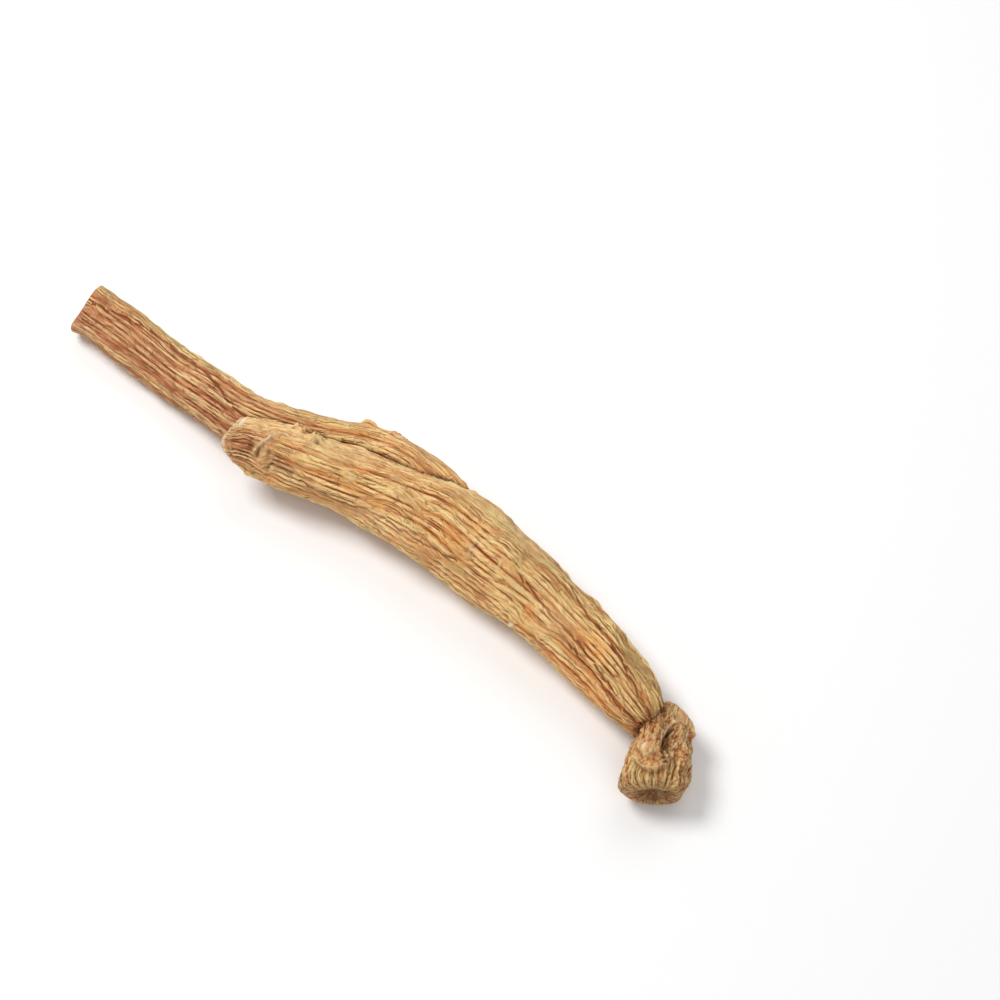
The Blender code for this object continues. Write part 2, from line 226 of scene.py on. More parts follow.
# Round spots of colour and relief: distance, degrees, half length along and across and height
# in mm, the tint it leaves and how strongly.
BODY_SPOTS = (
    # Painted shade in the scar's pits.
    (10.9, 130, 0.45, 2.0, -0.9, "dark", 0.6),
    (11.8, 116, 0.40, 0.8, -0.6, "dark", 0.6),
    (14.0, 122, 0.40, 0.9, -0.5, "dark", 0.5),
    (12.6, 126, 2.60, 4.6, 0.0, "rough", 0.7),
    (12.4, 128, 1.60, 3.0, 0.0, "pale", 0.5),
    (17.6, 38, 1.60, 1.6, 0.0, "rough", 0.8),
    (23.8, 64, 1.60, 1.8, 0.0, "rough", 0.8),
    (12.8, 136, 1.30, 2.6, 0.2, "pale", 0.0),
    # Painted shade in two more pits of the scar.
    (14.9, 149, 0.60, 0.7, -0.5, "dark", 0.5),
    (8.4, 120, 1.2, 2.0, -0.3, "dark", 0.5),
    # Painted shade in the dark pits by the knobs.
    (17.6, 40, 0.5, 0.6, -0.6, "dark", 0.8),
    (16.2, 49, 0.5, 0.5, -0.4, "dark", 0.7),
    (24.6, 68, 0.5, 0.5, -0.6, "dark", 0.8),
    (20.2, 51, 1.3, 1.4, 0.0, "orange", 1.0),
    (3.2, 72, 0.9, 1.1, 0.3, "white", 1.0),
    (1.6, 74, 0.6, 0.9, 0.2, "white", 0.4),
    (93.9, 164, 0.6, 0.6, 0.3, "white", 0.8),
    (34.0, 168, 16.0, 7.0, 0.0, "orange", 0.4),
    (22.0, 66, 24.0, 3.5, 0.0, "pale", 0.55),
    (50.0, 160, 30.0, 4.0, 0.0, "pale", 0.3),
    (74.0, 48, 20.0, 4.0, 0.0, "pale", 0.4),
    (103.0, 108, 6.0, 5.0, 0.0, "pale", 0.3),
    (24.0, 105, 18.0, 10.0, 0.0, "dark", 0.06),
    (18.5, 138, 5.0, 3.0, 0.0, "red", 0.9),
    (19.0, 138, 4.5, 2.6, 0.0, "dark", 0.14),
    (132.0, 160, 7.0, 5.0, 0.0, "dark", 0.14),
    (70.0, 168, 40.0, 6.0, 0.0, "orange", 0.35),
    # Darker at the lobe's end: its own greyer colour and painted shade.
    (128.0, 66, 10.0, 6.0, 0.0, "dark", 0.18),
    (124.0, 165, 14.0, 4.5, 0.0, "orange", 0.6),
    (136.0, 155, 4.0, 7.5, 0.0, "orange", 1.0),
    # Painted shade in the crease between the body's end and the crown's ear.
    (137.0, 92, 4.0, 3.5, 0.0, "dark", 0.3),
)
LEG_SPOTS = (
    # Painted shade in two dark pits, the second by a knob.
    (43.4, 46, 1.1, 1.2, -0.3, "dark", 0.6),
    (91.8, 33, 0.5, 0.7, -0.5, "dark", 0.5),
    (105.0, 58, 8.0, 4.5, 0.0, "orange", 0.7),
    (108.0, 50, 10.0, 4.0, 0.0, "pale", 0.35),
    (50.0, 28, 40.0, 3.0, 0.0, "pale", 0.3),
    (39.4, 110, 1.4, 0.7, 0.2, "pale", 0.5),
)
CROWN_SPOTS = (
    # Painted shade in the cavity's two holes.
    (10.0, 76, 1.1, 0.7, -0.9, "dark", 1.0),
    (13.0, 84, 1.0, 0.7, -1.1, "dark", 1.0),
    (11.6, 72, 0.9, 0.8, 0.9, "orange", 0.5),
    # Painted shade in the cavity and in two pits.
    (12.4, 71, 3.2, 3.0, 0.0, "dark", 0.5),
    (6.9, 87, 1.4, 0.8, 0.0, "dark", 0.6),
    (16.6, 80, 1.4, 1.4, -0.4, "dark", 0.4),
    # Pale and white specks on the crown's face and ear: painted highlights.
    (14.2, 114, 0.5, 0.5, 0.2, "white", 1.0),
    (13.0, 123, 0.4, 0.7, 0.2, "pale", 0.9),
    (16.2, 108, 0.7, 1.3, 0.2, "pale", 0.8),
    (14.8, 119, 0.9, 1.0, 0.1, "pale", 0.7),
    (15.2, 112, 2.8, 4.0, 0.0, "pale", 0.3),
    (4.6, 48, 0.8, 1.0, 0.2, "pale", 0.8),
    (16.8, 132, 0.6, 0.9, 0.3, "pale", 0.8),
    (12.0, 104, 0.4, 0.8, 0.3, "pale", 0.7),
    (12.6, 133, 1.4, 2.4, 0.0, "red", 1.0),
    (16.8, 92, 1.6, 2.6, 0.0, "dark", 0.25),
    # More painted highlights: pale and white specks.
    (9.6, 40, 1.2, 1.0, 0.3, "pale", 0.6),
    (15.9, 101, 0.5, 0.6, 0.2, "pale", 0.9),
    (12.6, 119, 0.4, 0.5, 0.3, "pale", 0.9),
    (17.0, 122, 0.6, 0.6, 0.2, "pale", 0.7),
    (7.8, 32, 0.5, 0.5, 0.3, "white", 1.0),
    (6.2, 14, 0.8, 0.6, 0.2, "pale", 0.8),
    (3.8, 66, 1.4, 2.0, 0.3, "pale", 0.8),
    (2.0, 100, 1.6, 2.2, 0.2, "orange", 1.0),
    (2.6, 132, 2.4, 9.0, 0.0, "orange", 1.0),
    (15.0, 114, 3.8, 5.5, 0.0, "orange", 1.0),
    (9.4, 140, 3.6, 7.5, 0.0, "orange", 1.0),
    (18.2, 105, 1.0, 3.0, 0.0, "orange", 0.8),
)

# How far apart the rings of a strand stand: from, to and the gap in mm, finer where marks are.
BODY_RINGS = (
    (3.7, 9.0, 0.6),
    (9.0, 27.0, 0.4),
    (27.0, 73.0, 0.9),
    (73.0, 85.0, 0.5),
    (85.0, 91.5, 0.9),
    (91.5, 96.5, 0.45),
    (96.5, 134.2, 0.9),
)
LEG_RINGS = ((2.0, 88.0, 1.1), (88.0, 103.0, 0.6), (103.0, 127.0, 2.0))
CROWN_RINGS = ((5.8, 20.9, 0.25),)
# How many points each ring has.
BODY_COLUMNS, LEG_COLUMNS, CROWN_COLUMNS = 300, 216, 200

# How far the body's end bulges over the neck and the crown's ear stands out beside it, in mm.
NECK_LOBE, EAR_REACH = 1.5, 1.4

# The lumps of each strand, as waves: seed, how many, how often they run round it at most,
# shortest and longest length along it, and size, in mm. The first of each are the solid's own.
BODY_LUMPS = ((11, 12, 4, 16.0, 60.0, 0.32), (12, 30, 14, 3.0, 9.0, 0.10))
LEG_LUMPS = ((21, 9, 3, 18.0, 55.0, 0.26), (22, 30, 12, 3.0, 9.0, 0.08))
CROWN_LUMPS = ((31, 11, 5, 7.0, 24.0, 0.45),)
CROWN_GNARLS = ((35, 50, 18, 2.0, 5.0, 0.14), (36, 80, 44, 0.9, 1.8, 0.14))

# The folds of each strand, broad to fine: seed, how many waves, about how often they run round
# it, how far that varies, how much they slant, depth in mm, width of a furrow as a phase, darkness.
BODY_FOLDS = (
    (40, 60, 13, 5, 0.05, 0.42, 0.25, 0.5),
    (41, 140, 34, 8, 0.11, 0.62, 0.50, 1.0),
    (47, 140, 53, 9, 0.20, 0.32, 0.60, 0.8),
)
LEG_FOLDS = (
    (39, 60, 10, 4, 0.03, 0.36, 0.25, 0.6),
    (43, 120, 30, 7, 0.05, 0.38, 0.50, 1.0),
    (48, 120, 44, 8, 0.12, 0.34, 0.60, 1.0),
)
CROWN_FOLDS = (
    (45, 80, 26, 6, 0.45, 0.38, 0.55, 0.8),
    (46, 80, 46, 10, 1.60, 0.28, 0.80, 0.8),
)

# Where the finer folds are strong: the seed of each strand's waves, then their count, how often
# they run round it at most, shortest and longest length along it in mm, and size.
BODY_PATCHES, LEG_PATCHES, CROWN_PATCHES = 61, 62, 63
PATCH_WAVES = (18, 7, 5.0, 24.0, 0.38)

# How flat the ridges between furrows are, and the share of their height that lies below the
# strand's own surface.
RIDGE_SHAPE, RIDGE_LEVEL = 0.8, 0.61

# How much calmer the lumps are on the underside.
CALM_BELOW, CROWN_CALM_BELOW = 0.7, 0.8

# How the furrows wander round each strand: seed and reach in mm, the strand's radius in mm, then
# the seed and reach of the finer wander.
BODY_DRIFT = (13, 0.5, 9.0, 14, 0.08)
LEG_DRIFT = (23, 0.4, 7.0, 24, 0.05)
CROWN_DRIFT = (33, 0.5, 8.0, 34, 0.25)

# How far the crease between two strands spreads, with its painted shade, and how deep it is pressed, in
# mm.
SEAM_WIDTH, SEAM_DEPTH = 0.9, 0.5

# The random patterns in the skin: stretch and shift along, across and above in mm, then scale,
# detail, roughness and warp.
PATTERNS = {
    "strokes": ((0.12, 1.0, 1.0), (0.0, 0.0, 0.0), 1.0, 5.0, 0.6, 0.4),
    "bands": ((0.22, 1.0, 1.0), (2.0, 8.0, 5.0), 0.42, 3.0, 0.55, 0.0),
    "scratches": ((0.10, 1.0, 1.0), (6.0, 2.0, 11.0), 2.0, 4.0, 0.6, 0.1),
    "ticks": ((1.0, 0.22, 0.22), (4.0, 9.0, 2.0), 1.8, 2.0, 0.5, 0.0),
    "sparse": ((1.0, 1.0, 1.0), (12.0, 3.0, 7.0), 0.35, 2.0, 0.5, 0.0),
    "breaks": ((0.3, 1.0, 1.0), (9.0, 4.0, 6.0), 0.8, 2.0, 0.55, 0.0),
    "patches": ((0.5, 1.0, 1.0), (31.0, 7.0, 3.0), 0.13, 3.0, 0.5, 0.0),
    "glow": ((0.4, 1.0, 1.0), (14.0, 27.0, 5.0), 0.2, 3.0, 0.55, 0.0),
    "fibres": ((0.12, 1.0, 1.0), (5.0, 17.0, 9.0), 3.2, 4.0, 0.6, 0.3),
    "specks": ((1.0, 1.0, 1.0), (3.0, 1.0, 8.0), 1.6, 3.0, 0.6, 0.0),
    "grit": ((0.8, 1.0, 1.0), (7.0, 5.0, 2.0), 0.85, 5.0, 0.75, 0.6),
}
# Streaks laid over the skin in turn: the pattern, the part of it that counts from low to high, how
# strong the streak is at each end of that part, and its colour.
STREAKS = (
    ("bands", 0.50, 0.66, 0.0, 0.55, (208, 118, 62)),
    ("fibres", 0.52, 0.75, 0.0, 0.40, (244, 212, 156)),
    ("specks", 0.62, 0.78, 0.0, 0.50, (172, 104, 56)),
    # The two crest rows: painted shade in the valleys between ridges, over their own redder colour, and a
    # painted highlight on the ridge tops.
    ("crest", 0.08, 0.56, 0.84, 0.0, (184, 92, 42)),
    ("crest", 0.50, 0.90, 0.0, 0.78, (255, 224, 158)),
    # The scratch rows: painted highlights on the raised strokes of the fine relief, and dark strokes in
    # its sunk ones, partly painted shade.
    ("scratches", 0.56, 0.68, 0.0, 0.55, (252, 222, 164)),
    ("scratches", 0.34, 0.43, 0.65, 0.0, (156, 80, 38)),
)

# The lamps: name, degrees round and above, distance and size in metres, and power in watts.
LAMPS = (
    ("key_light", -70.0, 62.0, 0.9, 0.4, 5.2),
    ("fill_light", 60.0, 50.0, 1.2, 0.9, 2.4),
    ("back_light", 190.0, 50.0, 1.2, 0.9, 2.6),
)
# How strong the pale surround is.
SURROUND = 0.33

# How far the floor reaches from the origin and how far below the root it is, in metres.
FLOOR_REACH, FLOOR_DROP = 4.0, 0.00005

# The view of the photograph: degrees round and above, metres, then the lens and sensor in mm.
CAMERA_AZIMUTH, CAMERA_ELEVATION = 43.64, 59.0
CAMERA_DISTANCE = 0.6139
CAMERA_AIM = Vector((0.01565, 0.02637, 0.0))
CAMERA_LENS, CAMERA_SENSOR = 85.0, 36.0


def read_curve(stations, distances):
    """The stations' values and direction at each distance, read by a smooth cubic."""
    table = np.array(stations, float)
    gaps = np.linalg.norm(np.diff(table[:, :3], axis=0), axis=1)
    knots = np.concatenate(([0.0], np.cumsum(gaps)))
    slopes = np.gradient(table, knots, axis=0)
    place = np.clip(np.searchsorted(knots, distances, side="right") - 1, 0, len(gaps) - 1)
    step = gaps[place][:, None]
    t = ((distances - knots[place]) / gaps[place])[:, None]
    first, second = table[place], table[place + 1]
    lead, trail = slopes[place] * step, slopes[place + 1] * step
    values = (
        (2 * t**3 - 3 * t**2 + 1) * first
        + (t**3 - 2 * t**2 + t) * lead
        + (3 * t**2 - 2 * t**3) * second
        + (t**3 - t**2) * trail
    )
    rates = (
        (6 * t**2 - 6 * t) * (first - second) / step
        + (3 * t**2 - 4 * t + 1) * lead / step
        + (3 * t**2 - 2 * t) * trail / step
    )
    heading = rates[:, :3] / np.linalg.norm(rates[:, :3], axis=1)[:, None]
    return values, heading


def curve_length(stations):
    """The length of the line through the stations, in mm."""
    table = np.array(stations, float)
    return float(np.linalg.norm(np.diff(table[:, :3], axis=0), axis=1).sum())


def make_waves(seed, count, most_turns, shortest, longest, size):
    """Random long waves that run round and along a strand, closed round it."""
    rng = random.Random(seed)
    waves = []
    for _ in range(count):
        turns = rng.randint(1, most_turns)
        pace = rng.choice((-1, 1)) * 2 * math.pi / rng.uniform(shortest, longest)
        waves.append((turns, pace, rng.uniform(0, 2 * math.pi), size * math.sqrt(2 / count)))
    return waves


def all_waves(rows):
    """The waves of several kinds together."""
    return [wave for row in rows for wave in make_waves(*row)]


def wave_height(waves, s, angle):
    """The sum of the waves at distance s and angle round the strand, in mm."""
    total = 0.0
    for turns, pace, phase, size in waves:
        total = total + size * np.sin(turns * angle + pace * s + phase)
    return total


def turn_from(angle, at_degrees):
    """How far an angle is round from another, in radians, between minus and plus half a turn."""
    return np.mod(angle - math.radians(at_degrees) + math.pi, 2 * math.pi) - math.pi


def facing(angle, at_degrees, spread):
    """One at an angle round a strand, fading to nothing over a spread in radians."""
    return np.exp(-((turn_from(angle, at_degrees) / spread) ** 2))


def near_cut(s):
    """One at a strand's cut end, fading to nothing along it."""
    return np.clip(1.0 - s / CUT_REACH, 0.0, 1.0) ** 2


def bump(s, angle, radius, at_s, at_degrees, along, across, height):
    """A smooth bump, or a pit where height is negative, with half lengths in mm."""
    turn = turn_from(angle, at_degrees)
    spread = ((s - at_s) / along) ** 2 + (turn * radius / across) ** 2
    return height * np.exp(-spread)


def marks_height(marks, s, angle, radius):
    """All the bumps and pits of a strand together."""
    return sum(bump(s, angle, radius, *mark) for mark in marks)


def line_distance(s, angle, radius, points):
    """How far each point of a strand is from a line drawn on it, in mm."""
    nearest = np.full(s.shape, 1e3)
    for (start_s, start_angle), (end_s, end_angle) in zip(points, points[1:]):
        along = s - start_s
        across = turn_from(angle, start_angle) * radius
        run = end_s - start_s
        climb = math.radians(end_angle - start_angle) * radius
        share = np.clip((along * run + across * climb) / (run**2 + climb**2), 0.0, 1.0)
        nearest = np.minimum(nearest, np.hypot(along - share * run, across - share * climb))
    return nearest


def strengthen(tints, name, share):
    """Raise a tint to a share wherever it is weaker."""
    tints[name] = np.maximum(tints[name], share)


def draw(lines, spots, s, angle, radius, tints):
    """The height of the lines and spots of a strand in mm; their tints are laid over the others."""
    height = 0.0
    angle = angle + wave_height(make_waves(*LINE_WOBBLE), s, angle) / radius
    for width, rise_mm, tint, strength, points in lines:
        share = np.exp(-((line_distance(s, angle, radius, points) / width) ** 2))
        height = height + rise_mm * share
        strengthen(tints, tint, strength * share)
    for at_s, at_degrees, along, across, rise_mm, tint, strength in spots:
        share = bump(s, angle, radius, at_s, at_degrees, along, across, 1.0)
        height = height + rise_mm * share
        strengthen(tints, tint, strength * share)
    return height


def underside(angle):
    """One at the bottom of a strand, falling to nothing at its sides."""
    return np.clip(-np.sin(angle), 0.0, 1.0) ** 2


def rise(value, start, end):
    """Nothing before start and one past end, with a smooth change between."""
    t = np.clip((value - start) / (end - start), 0.0, 1.0)
    return t * t * (3.0 - 2.0 * t)


def fold_waves(seed, count, turns, spread, slant):
    """Waves that run round a strand about equally often, so that their sum folds the skin along it."""
    rng = random.Random(seed)
    return [
        (rng.randint(turns - spread, turns + spread), rng.gauss(0.0, slant), rng.uniform(0, 2 * math.pi))
        for _ in range(count)
    ]


def folds(waves, s, angle):
    """The folds' phase, nothing in the middle of a furrow, and their strength there."""
    along, over = 0.0, 0.0
    for turns, pace, phase in waves:
        swing = turns * angle + pace * s + phase
        along = along + np.cos(swing)
        over = over + np.sin(swing)
    strength = np.sqrt(along**2 + over**2) / math.sqrt(len(waves))
    return np.arctan2(over, along), strength


def wrinkle(waves, s, angle, depth, width):
    """Flat ridges between sharp furrows: their height in mm, and how deep in a furrow."""
    phase, strength = folds(waves, s, angle)
    share = rise(strength, 0.1, 1.1)
    height = depth * share * (np.abs(np.sin(phase / 2)) ** RIDGE_SHAPE - RIDGE_LEVEL)
    furrow = share * np.exp(-((phase / width) ** 2))
    return height, furrow


def fold_families(rows):
    """The waves of each kind of fold, with its depth, furrow width and darkness."""
    return [(fold_waves(*row[:5]), *row[5:]) for row in rows]


def skin_folds(families, patch, s, angle, share, tints):
    """The height of several families of folds in mm; their furrows are tinted, and their crests get a
    painted highlight on ridge tops and painted shade in the valleys.

    patch is how strong the finer folds are from place to place, and share fades them all.
    """
    height, furrow, full = 0.0, 0.0, 0.0
    for order, (waves, depth, width, darkness) in enumerate(families):
        ridges, line = wrinkle(waves, s, angle, depth, width)
        here = patch if order else 1.0
        height = height + ridges * here
        furrow = np.maximum(furrow, darkness * line * here)
        full = full + depth
    shown = rise(share, 0.5, 0.97)
    tints["furrow"] = np.clip(furrow, 0.0, 1.0) * shown
    # The crest tint, from the folds' height: a painted highlight on the ridge tops and painted shade in
    # the valleys between them.
    tints["crest"] = 0.5 + np.clip(1.6 * height / full, -0.5, 0.5) * shown
    return height * share


def patches(seed, s, angle):
    """How strong the finer folds are from place to place, about one on average."""
    waves = make_waves(seed, *PATCH_WAVES)
    return np.clip(0.95 + wave_height(waves, s, angle), 0.2, 1.4)


def profile_rings(pairs, radius, pitch):
    """Rings along a smooth line through pairs of distance and share, about pitch mm apart."""
    stations = [(distance, share * radius, 0.0, share) for distance, share in pairs]
    length = curve_length(stations)
    distances = np.linspace(0.0, length, max(2, round(length / pitch) + 1))
    values, _ = read_curve(stations, distances)
    return [(value[0], value[3]) for value in values]


def side_rings(stretches):
    """Rings of full size along each stretch: from, to and about how far apart, in mm."""
    rings = []
    for start, end, gap in stretches:
        count = max(1, round((end - start) / gap))
        rings += [(start + (end - start) * index / count, 1.0) for index in range(count)]
    return [*rings, (stretches[-1][1], 1.0)]


def dome_pairs(length, from_start, depth, count, bluntness):
    """A rounded end: how far along, and what share of the full size."""
    rings = []
    for index in range(1, count + 1):
        turn = math.pi / 2 * index / (count + 1)
        rings.append((depth * (1 - math.cos(turn)), math.sin(turn) ** bluntness))
    if from_start:
        return rings
    return [(length - inset, share) for inset, share in reversed(rings)]


def sweep(stations, rings, columns, skin, sway, slant=(0.0, 0.0)):
    """The points of one closed strand, ring by ring, and the tints of each.

    slant leans the first end: how far it moves along the line for each mm across and above.
    """
    distances = np.array([distance for distance, _ in rings])
    shares = np.array([share for _, share in rings])[:, None]
    values, heading = read_curve(stations, distances)
    turn = np.arange(columns)[None, :] * 2 * math.pi / columns
    s = distances[:, None] + 0.0 * turn
    angle = turn + sway(s, turn)
    side = np.cross((0.0, 0.0, 1.0), heading)
    side /= np.linalg.norm(side, axis=1)[:, None]
    up = np.cross(heading, side)
    wide, high = values[:, 3:4], values[:, 4:5]
    radius = np.sqrt(wide * high)
    across = shares * wide * np.cos(angle)
    above = shares * high * np.sin(angle)
    lean = np.sqrt((np.cos(angle) / wide) ** 2 + (np.sin(angle) / high) ** 2)
    height, push, tints = skin(s, angle, radius, shares + 0.0 * angle)
    across = across + height * np.cos(angle) / wide / lean
    above = above + height * np.sin(angle) / high / lean
    forward = (slant[0] * across + slant[1] * above) * near_cut(s) + push
    points = (
        values[:, None, :3]
        + forward[:, :, None] * heading[:, None, :]
        + across[:, :, None] * side[:, None, :]
        + above[:, :, None] * up[:, None, :]
    )
    grown = shares * radius
    tints["grain"] = np.stack((s, grown * np.cos(turn), grown * np.sin(turn)), axis=2)
    return points, tints


def strand_object(name, points):
    """The closed mesh of a strand, with a point in the middle of each end."""
    rings, columns = points.shape[:2]
    flat = points.reshape(-1, 3)
    first, last = len(flat), len(flat) + 1
    corners = [*flat.tolist(), points[0].mean(axis=0).tolist(), points[-1].mean(axis=0).tolist()]
    here = np.arange(rings * columns).reshape(rings, columns)
    after = np.roll(here, -1, axis=1)
    walls = np.stack((here[:-1], here[1:], after[1:], after[:-1]), axis=2).reshape(-1, 4)
    faces = walls.tolist()
    faces += [(first, int(a), int(b)) for a, b in zip(here[0], after[0])]
    faces += [(last, int(b), int(a)) for a, b in zip(here[-1], after[-1])]
    data = bpy.data.meshes.new(name)
    data.from_pydata(corners, [], faces)
    mesh = bmesh.new()
    mesh.from_mesh(data)
    bmesh.ops.recalc_face_normals(mesh, faces=mesh.faces)
    mesh.to_mesh(data)
    mesh.free()
    strand = bpy.data.objects.new(name, data)
    bpy.context.scene.collection.objects.link(strand)
    return strand


def drift(seed, reach, radius, meander_seed, meander):
    """How far the furrows wander round a strand as they run along it, as an angle."""
    waves = make_waves(seed, 5, 3, 14.0, 45.0, reach / radius)
    waves += make_waves(meander_seed, 8, 4, 7.0, 15.0, meander / radius)
    waves += make_waves(meander_seed + 50, 12, 14, 3.2, 6.0, 0.4 * meander / radius)

    def sway(s, angle):
        return wave_height(waves, s, angle)

    return sway


def blank_tints(like):
    """Every tint at nothing."""
    names = ("furrow", "crest", "red", "olive", "pale", "white", "dark", "orange", "rough")
    return {name: np.zeros_like(like) for name in names}


def stub_fall(s, angle):
    """How far the stub's end falls back along the body, in mm, so that it is round from above."""
    away = 1.0 - facing(angle, STUB_NOSE, STUB_SPREAD)
    return STUB_FALL * away * near_cut(s)


def body_strand():
    """The thick tapering body, from its short cut stub to the neck."""
    length = curve_length(BODY)
    lumps = all_waves(BODY_LUMPS)
    families = fold_families(BODY_FOLDS)

    def skin(s, angle, radius, share):
        tints = blank_tints(s)
        quiet = 1.0 - CALM_BELOW * underside(angle)
        calm = 1.0 - bump(s, angle, radius, *SCAR, 1.0)
        ridges = skin_folds(families, patches(BODY_PATCHES, s, angle), s, angle, share * calm, tints)
        height = wave_height(lumps, s, angle) * quiet + ridges
        height = height + marks_height(BODY_MARKS, s, angle, radius)
        height = height + draw(BODY_LINES, BODY_SPOTS, s, angle, radius, tints)
        stub_face = facing(angle, *STUB_FACE) * (1.0 - rise(s, 6.0, 24.0))
        strengthen(tints, "red", stub_face)
        strengthen(tints, "dark", 0.14 * stub_face * calm * rise(s, 1.5, 4.0))
        strengthen(tints, "rough", 1.0 - rise(share, 0.7, 1.0))
        edge = facing(angle, *BODY_EDGE) * rise(s, 48.0, 80.0)
        lobe = facing(angle, *BODY_LOBE)
        tints["olive"] = np.maximum(edge, 0.8 * lobe * rise(s, 124.0, 137.0))
        push = NECK_LOBE * lobe * rise(s, 122.0, 138.0) + stub_fall(s, angle)
        return height * share, push, tints

    rings = profile_rings(STUB_END, 6.0, 0.45)[1:]
    rings += side_rings(BODY_RINGS)
    rings += profile_rings(dome_pairs(length, False, 3.2, 4, 0.6), 5.8, 0.9)
    return sweep(BODY, rings, BODY_COLUMNS, skin, drift(*BODY_DRIFT))


def leg_strand():
    """The long even leg, from its cut tip to where it sinks into the body."""
    length = curve_length(LEG)
    lumps = all_waves(LEG_LUMPS)
    families = fold_families(LEG_FOLDS)

    def skin(s, angle, radius, share):
        tints = blank_tints(s)
        quiet = 1.0 - CALM_BELOW * underside(angle)
        ridges = skin_folds(families, patches(LEG_PATCHES, s, angle), s, angle, share, tints)
        height = wave_height(lumps, s, angle) * quiet + ridges
        height = height + marks_height(LEG_MARKS, s, angle, radius)
        height = height + draw(LEG_LINES, LEG_SPOTS, s, angle, radius, tints)
        strengthen(tints, "red", 1.0 - rise(s, 68.0, 88.0))
        tints["olive"] = 0.9 * facing(angle, *LEG_EDGE) * (1.0 - rise(s, 84.0, 96.0))
        tints["rough"] = 1.0 - rise(share, 0.8, 0.98)
        strengthen(tints, "dark", 0.06)
        set_back = TIP_SET * near_cut(s) * facing(angle, TIP_SIDE, TIP_SPREAD)
        return height * share, set_back, tints

    rings = profile_rings(TIP_END, 7.0, 0.45)[1:]
    rings += side_rings(LEG_RINGS)
    rings += profile_rings(dome_pairs(length, False, 3.6, 3, 0.8), 5.0, 1.0)
    return sweep(LEG, rings, LEG_COLUMNS, skin, drift(*LEG_DRIFT), LEG_SLANT)


def past_lip(s, angle):
    """One on the crown's skirt, nothing on its upper face, with a short step between."""
    turn = np.degrees(np.mod(angle, 2 * math.pi)) - LIP_MIDDLE
    lip = LIP_REACH - LIP_CURVE * turn**2
    step = np.clip((s - lip) / LIP_STEP + 0.5, 0.0, 1.0)
    near = np.clip((LIP_SIDE - np.abs(turn)) / LIP_FADE, 0.0, 1.0)
    return step * near


def crown_strand():
    """The gnarled crown at the neck, with the hollow left by the stem."""
    length = curve_length(CROWN)
    lumps = all_waves(CROWN_LUMPS)
    gnarls = all_waves(CROWN_GNARLS)
    families = fold_families(CROWN_FOLDS)

    def skin(s, angle, radius, share):
        tints = blank_tints(s)
        quiet = 1.0 - CROWN_CALM_BELOW * underside(angle)
        skirt = past_lip(s, angle)
        ridges = skin_folds(families, patches(CROWN_PATCHES, s, angle), s, angle, share, tints)
        height = wave_height(lumps, s, angle) * quiet + ridges * (0.6 + 0.4 * skirt)
        upper = 0.3 + 0.7 * np.clip(np.sin(angle), 0.0, 1.0)
        knots = wave_height(gnarls, s, angle)
        height = height + knots * (1.0 - 0.8 * skirt) * upper * quiet
        # The gnarls' tops get the crest tint's painted highlight and their hollows its painted shade,
        # above the lip.
        tints["crest"] = np.clip(tints["crest"] + 0.9 * knots * (1.0 - skirt), 0.0, 1.0)
        height = height + marks_height(CROWN_MARKS, s, angle, radius)
        height = height + draw(CROWN_LINES, CROWN_SPOTS, s, angle, radius, tints)
        height = height - LIP_DROP * skirt
        bulge = bump(s, angle, radius, *CROWN_BULGE, 1.0)
        hollow = rise(s, length - 4.0, length - 2.0) * (1.0 - rise(share, 0.35, 0.8))
        # Darker on the skirt, and painted shade on the upper face that falls off to nothing on the bulge.
        strengthen(tints, "dark", 0.16 * skirt + 0.13 * (1.0 - skirt) * (1.0 - bulge))
        # Painted shade in the hollow left by the stem.
        strengthen(tints, "dark", 0.55 * hollow)
        strengthen(tints, "red", 0.7 * (1.0 - skirt))
        strengthen(tints, "olive", 0.8 * skirt)
        tints["olive"] *= rise(share, 0.7, 1.0)
        face_rough = (1.0 - 0.7 * skirt) * (1.0 - 0.4 * bulge)
        tints["rough"] = np.maximum(face_rough, 1.0 - rise(share, 0.8, 1.0))
        return height * share, -EAR_REACH * (1.0 - rise(s, 0.0, 8.0)), tints

    pairs = [(0.0, 0.0), *dome_pairs(length, True, 5.0, 4, 0.8), (5.5, 1.0)]
    rings = profile_rings(pairs, 5.0, 0.5)[1:]
    rings += side_rings(CROWN_RINGS)
    end = [*dome_pairs(length, False, 2.2, 3, 0.45), (length - 0.6, 0.5), (length - 2.0, 0.25)]
    rings += profile_rings(end, 7.8, 0.45)
    return sweep(CROWN, rings, CROWN_COLUMNS, skin, drift(*CROWN_DRIFT))


def join(strands):
    """One closed skin from the strands, by a Boolean union that is applied."""
    base, *others = strands
    for other in others:
        joint = base.modifiers.new("join_" + other.name, "BOOLEAN")
        joint.operation = "UNION"
        joint.solver = "MANIFOLD"
        joint.object = other
    graph = bpy.context.evaluated_depsgraph_get()
    data = bpy.data.meshes.new_from_object(base.evaluated_get(graph))
    base.modifiers.clear()
    base.data = data
    for other in others:
        bpy.data.objects.remove(other, do_unlink=True)
    return base


def nearest_points(root, parts):
    """For each point of the joined skin, its nearest strand point and how far the next strand is."""
    trees = []
    first = 0
    for points, _ in parts:
        flat = points.reshape(-1, 3)
        tree = KDTree(len(flat))
        for index, point in enumerate(flat):
            tree.insert(point, first + index)
        tree.balance()
        trees.append(tree)
        first += len(flat)
    nearest = []
    gaps = []
    for vert in root.data.vertices:
        found = sorted((tree.find(vert.co) for tree in trees), key=lambda hit: hit[2])
        nearest.append(found[0][1])
        gaps.append(found[1][2])
    return np.array(nearest), np.array(gaps)


